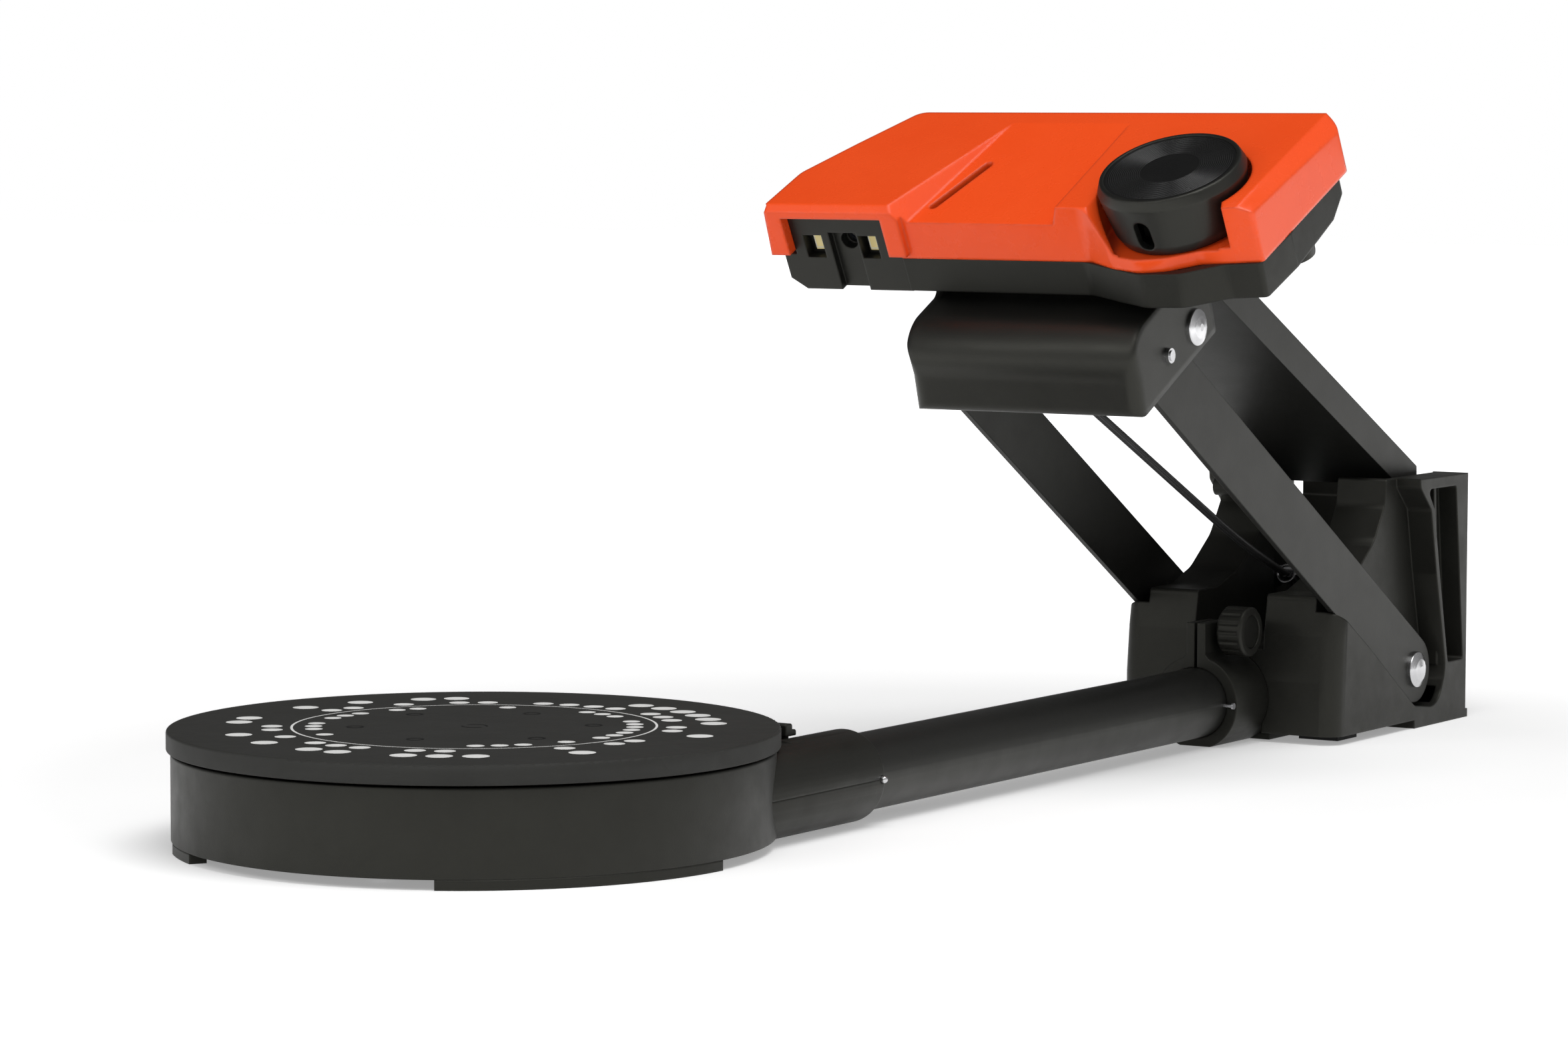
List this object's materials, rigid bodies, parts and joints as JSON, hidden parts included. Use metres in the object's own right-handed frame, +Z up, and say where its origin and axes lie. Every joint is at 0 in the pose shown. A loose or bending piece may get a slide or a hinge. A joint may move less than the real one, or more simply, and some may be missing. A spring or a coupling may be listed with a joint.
{
  "type": "desktop 3-D object scanner",
  "caption": "Folding desktop 3-D object scanner: a motor turntable on a sliding tube, a fold-out base with arms, and a pitched camera and line-laser head in orange and black.",
  "frame": {"origin": "centre of the bounding box on the table plane", "axes": "+Z up, +Y from the turntable back to the folding base along the tube, +X to the right seen from the turntable side"},
  "size_m": [0.2301, 0.514, 0.203],
  "materials": {
    "black_shell": "fine-textured black moulding",
    "black_satin": "satin black moulding",
    "orange_cover": "glossy orange moulding",
    "platter_black": "matt black turntable top",
    "tube_black": "satin black coated tube",
    "arm_black": "black coated sheet steel",
    "rubber_feet": "matt rubber",
    "wheel_rubber": "matt rubber",
    "chrome": "polished",
    "steel": "brushed",
    "bearing_bronze": "sintered bronze",
    "bearing_plastic": "natural nylon",
    "circuit_board": "green circuit board",
    "lead_sheath": "flexible black sheath",
    "lens_glass": "coated glass",
    "led_phosphor": "yellow phosphor in white frame",
    "dial_metal": "black with fine turned rings"
  },
  "bodies": {
    "base": {"base_housing": "black_shell", "base_floor": "black_shell", "base_feet": "rubber_feet", "clamp_collar": "black_shell", "clamp_nut": "arm_black", "base_board": "circuit_board", "power_inlet": "black_shell", "usb_socket": "steel", "lead_eyelet": "steel", "lead_grommet": "black_shell", "lead_tail": "lead_sheath", "rest_bumper": "black_shell", "link_base_axle": "steel"},
    "reach": {"turntable_shell": "black_shell", "turntable_floor": "black_shell", "turntable_feet": "black_shell", "turntable_screws": "steel", "spindle_bearing": "bearing_bronze", "drive_motor": "steel", "turntable_board": "circuit_board", "socket_upper": "black_shell", "socket_lower": "black_shell", "extension_tube": "tube_black", "tube_plugs": "black_shell", "stop_pin": "steel", "snap_spring": "steel"},
    "platter": {"platter": "platter_black", "platter_drive_ring": "bearing_plastic", "platter_spindle": "steel"},
    "drive_wheel": {"drive_wheel_hub": "steel", "drive_wheel_tyre": "wheel_rubber"},
    "snap_button": {"snap_button": "chrome"},
    "latch": {"socket_latch": "black_shell"},
    "clamp_knob": {"clamp_knob": "black_shell", "knob_cap": "black_satin", "clamp_screw": "arm_black"},
    "arms": {"arm_left": "arm_black", "arm_right": "arm_black", "base_rivets": "chrome", "arm_spacers": "bearing_plastic", "bracket_axle": "chrome"},
    "link": {"upper_link": "arm_black"},
    "lead": {"head_lead": "lead_sheath"},
    "head": {"bracket_housing": "black_satin", "bracket_pins": "chrome", "link_head_axle": "steel", "head_lower_shell": "black_shell", "head_cover": "orange_cover", "camera_bezel": "black_satin", "lens_barrel": "black_satin", "lens_glass": "lens_glass", "camera_boards": "black_shell", "led_packages": "led_phosphor", "head_board": "circuit_board", "head_screws": "steel", "dial_ring": "bearing_plastic"},
    "dial": {"dial_body": "black_satin", "dial_cap": "dial_metal", "laser_module": "black_shell", "laser_lenses": "lens_glass"}
  },
  "joints": [
    {"name": "tube_slide", "type": "slide", "parent": "base", "child": "reach", "axis": [0, 1, 0], "range_m": [-0.055, 0]},
    {"name": "platter_spin", "type": "hinge", "parent": "reach", "child": "platter", "pos_m": [-0.03, -0.172, 0.0332], "axis": [0, 0, 1], "continuous": true},
    {"name": "drive_wheel_spin", "type": "hinge", "parent": "reach", "child": "drive_wheel", "pos_m": [0.004, -0.172, 0.023], "axis": [0, 0, 1], "continuous": true},
    {"name": "snap_press", "type": "slide", "parent": "reach", "child": "snap_button", "axis": [-1, 0, 0], "range_m": [0, 0.0022], "stiffness_N_per_m": 600, "springref_m": -0.001},
    {"name": "latch_slide", "type": "slide", "parent": "reach", "child": "latch", "axis": [0, 1, 0], "range_m": [0, 0.004]},
    {"name": "knob_turn", "type": "hinge", "parent": "base", "child": "clamp_knob", "pos_m": [0.034, 0.145, 0.0368], "axis": [1, 0, 0], "range_deg": [-360, 0]},
    {"name": "arm_swing", "type": "hinge", "parent": "base", "child": "arms", "pos_m": [0.034, 0.2215, 0.019], "axis": [-1, 0, 0], "range_deg": [0, 38]},
    {"name": "link_swing", "type": "hinge", "parent": "base", "child": "link", "pos_m": [0.034, 0.2395, 0.047], "axis": [-1, 0, 0], "range_deg": [0, 38]},
    {"name": "head_level", "type": "hinge", "parent": "arms", "child": "head", "pos_m": [0.034, 0.0577, 0.1383], "axis": [-1, 0, 0], "range_deg": [-38, 0]},
    {"name": "lead_swing", "type": "hinge", "parent": "base", "child": "lead", "pos_m": [0.0424, 0.1813, 0.05267], "axis": [-1, 0, 0], "range_deg": [0, 51.3]},
    {"name": "dial_turn", "type": "hinge", "parent": "head", "child": "dial", "pos_m": [0.0808, 0.03573, 0.16879], "axis": [0, -0.4695, 0.8829], "range_deg": [-35, 35]}
  ],
  "couplings": [
    {"joint": "drive_wheel_spin", "follows": "platter_spin", "ratio": 7.0175},
    {"joint": "link_swing", "follows": "arm_swing", "ratio": 1},
    {"joint": "head_level", "follows": "arm_swing", "ratio": -1},
    {"joint": "lead_swing", "follows": "arm_swing", "ratio": 1.35}
  ]
}
